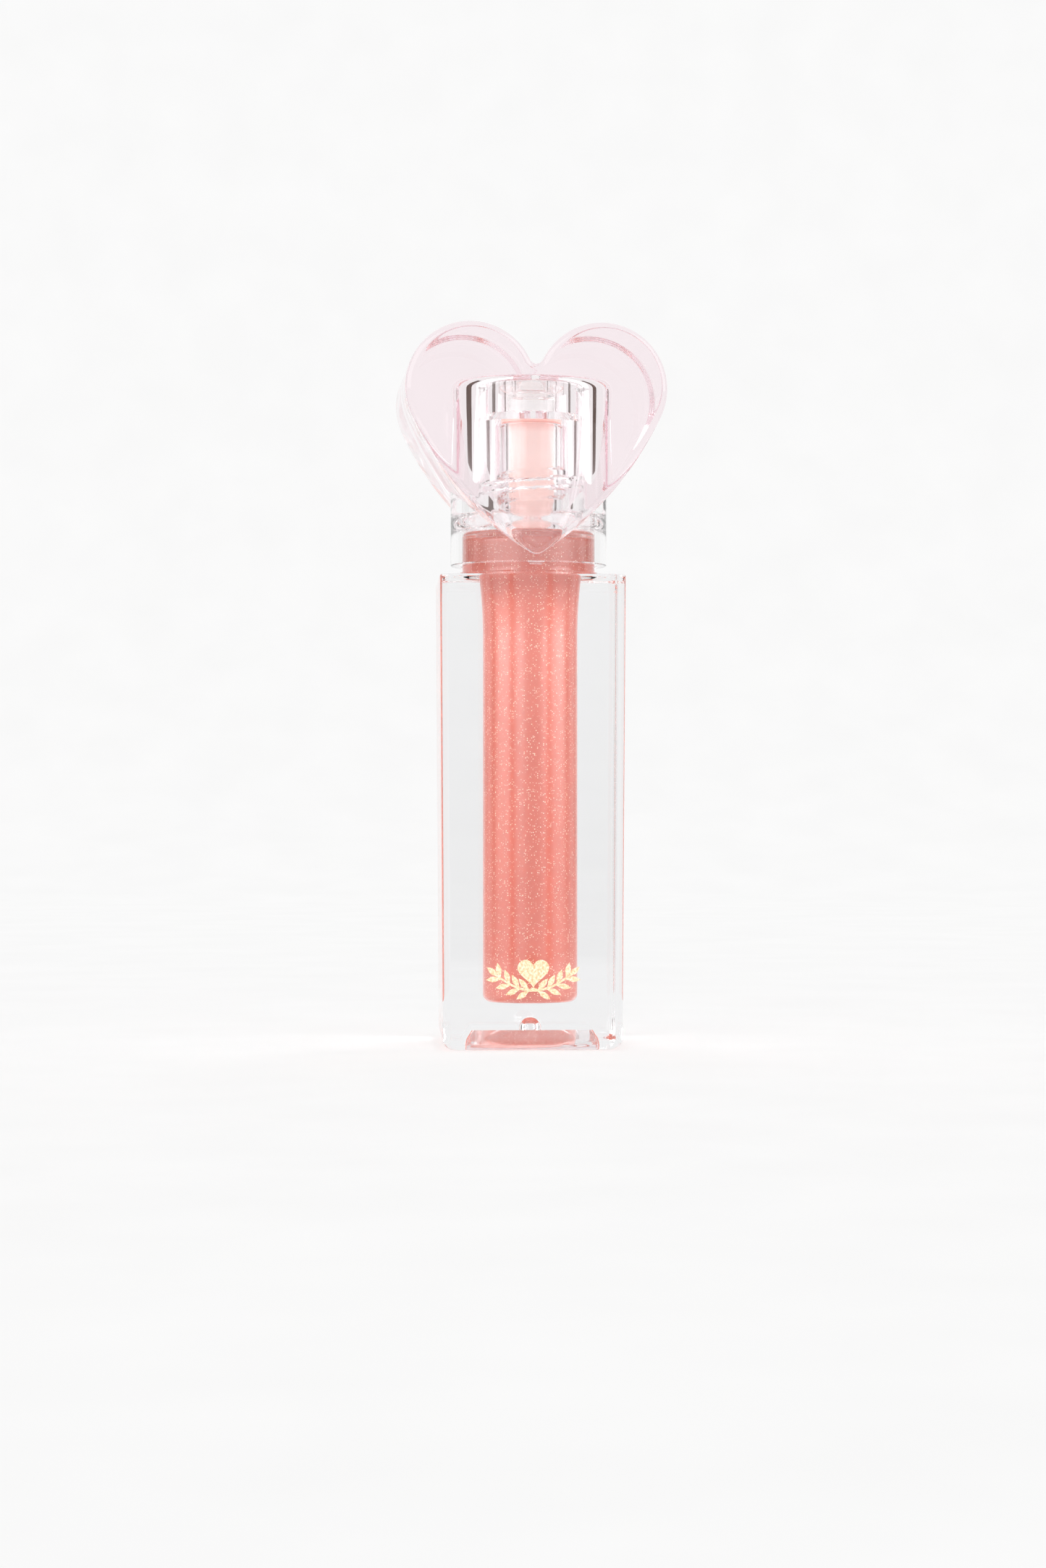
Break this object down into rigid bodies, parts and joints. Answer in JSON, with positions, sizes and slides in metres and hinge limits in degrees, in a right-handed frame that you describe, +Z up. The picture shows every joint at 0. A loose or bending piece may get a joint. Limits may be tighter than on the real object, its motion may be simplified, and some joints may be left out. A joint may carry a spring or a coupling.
{
  "type": "lip gloss tube",
  "caption": "Square clear lip gloss bottle with a heart-shaped screw cap that carries a doe-foot wand.",
  "frame": {"origin": "middle of the base, on the surface the bottle stands on", "axes": "+Z up along the bottle and its thread, -Y towards the front face with the foil print, +X to the right seen from the front"},
  "size_m": [0.029, 0.021, 0.0783],
  "materials": {
    "clear_bottle": "polished clear plastic, thick walled",
    "gold_foil": "pale gold hot-stamped foil, finely speckled",
    "coral_gloss": "pearly coral liquid with fine shimmer",
    "milky_wiper": "soft translucent plastic",
    "milky_washer": "soft foam plastic",
    "clear_wand": "clear plastic",
    "flock": "short white flock",
    "clear_cap": "polished clear plastic",
    "pink_acrylic": "polished clear acrylic with a very pale pink tint"
  },
  "bodies": {
    "bottle": {"bottle": "clear_bottle", "foil_print": "gold_foil", "gloss_fill": "coral_gloss", "wiper": "milky_wiper"},
    "seal": {"seal_washer": "milky_washer"},
    "cap": {"inner_cap": "clear_cap", "heart_cap": "pink_acrylic", "wand_stem": "clear_wand", "applicator_tip": "flock"}
  },
  "joints": [
    {"name": "cap_lift", "type": "slide", "parent": "bottle", "child": "seal", "axis": [0, 0, 1], "range_m": [0, 0.066]},
    {"name": "cap_turn", "type": "hinge", "parent": "seal", "child": "cap", "pos_m": [0, 0, 0.06], "axis": [0, 0, 1], "range_deg": [0, 450]}
  ]
}
